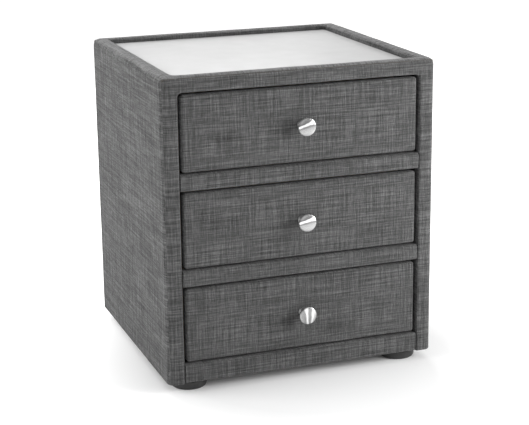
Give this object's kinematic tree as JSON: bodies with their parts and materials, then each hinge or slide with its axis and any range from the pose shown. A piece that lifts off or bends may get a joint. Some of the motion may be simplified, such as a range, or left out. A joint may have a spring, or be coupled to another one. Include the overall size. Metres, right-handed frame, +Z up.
{
  "type": "upholstered bedside chest",
  "caption": "Box-shaped bedside chest covered in grey linen, with sliding drawers, round steel knobs, a raised rim round a white glass top and short round feet.",
  "frame": {"origin": "on the floor, under the middle of the bounding box, knobs included", "axes": "+Z up; -Y is the front, where the drawers open; +X is to the right seen from the front"},
  "size_m": [0.43, 0.421, 0.48],
  "materials": {
    "linen": "slubby woven linen, matt, mid grey",
    "board": "raw fibreboard",
    "box_wood": "sanded birch, clear lacquer",
    "white_glass": "glass painted white on its underside, polished",
    "brushed_steel": "satin brushed in one direction",
    "zinc_screw": "zinc plated",
    "black_plastic": "moulded, slightly satin"
  },
  "bodies": {
    "case": {"side_board_left": "board", "side_board_right": "board", "back_board": "board", "bottom_board": "board", "top_board": "board", "glass_top": "white_glass", "side_cover_left": "linen", "side_cover_right": "linen", "back_cover": "linen", "bottom_rail_core": "board", "bottom_rail_cover": "linen", "lower_rail_core": "board", "lower_rail_cover": "linen", "upper_rail_core": "board", "upper_rail_cover": "linen", "top_rail_core": "board", "top_rail_cover": "linen", "runner_lower_left": "box_wood", "runner_lower_right": "box_wood", "runner_middle_left": "box_wood", "runner_middle_right": "box_wood", "runner_upper_left": "box_wood", "runner_upper_right": "box_wood", "foot_front_left": "black_plastic", "foot_screw_front_left": "zinc_screw", "foot_front_right": "black_plastic", "foot_screw_front_right": "zinc_screw", "foot_back_left": "black_plastic", "foot_screw_back_left": "zinc_screw", "foot_back_right": "black_plastic", "foot_screw_back_right": "zinc_screw"},
    "upper_drawer": {"upper_drawer_front_cover": "linen", "upper_drawer_front_board": "board", "upper_drawer_bottom": "box_wood", "upper_drawer_back": "box_wood", "upper_drawer_side_left": "box_wood", "upper_drawer_side_right": "box_wood", "upper_knob": "brushed_steel", "upper_knob_screw": "zinc_screw"},
    "middle_drawer": {"middle_drawer_front_cover": "linen", "middle_drawer_front_board": "board", "middle_drawer_bottom": "box_wood", "middle_drawer_back": "box_wood", "middle_drawer_side_left": "box_wood", "middle_drawer_side_right": "box_wood", "middle_knob": "brushed_steel", "middle_knob_screw": "zinc_screw"},
    "lower_drawer": {"lower_drawer_front_cover": "linen", "lower_drawer_front_board": "board", "lower_drawer_bottom": "box_wood", "lower_drawer_back": "box_wood", "lower_drawer_side_left": "box_wood", "lower_drawer_side_right": "box_wood", "lower_knob": "brushed_steel", "lower_knob_screw": "zinc_screw"}
  },
  "joints": [
    {"name": "upper_drawer_slide", "type": "slide", "parent": "case", "child": "upper_drawer", "axis": [0, -1, 0], "range_m": [0, 0.26]},
    {"name": "middle_drawer_slide", "type": "slide", "parent": "case", "child": "middle_drawer", "axis": [0, -1, 0], "range_m": [0, 0.26]},
    {"name": "lower_drawer_slide", "type": "slide", "parent": "case", "child": "lower_drawer", "axis": [0, -1, 0], "range_m": [0, 0.26]}
  ]
}
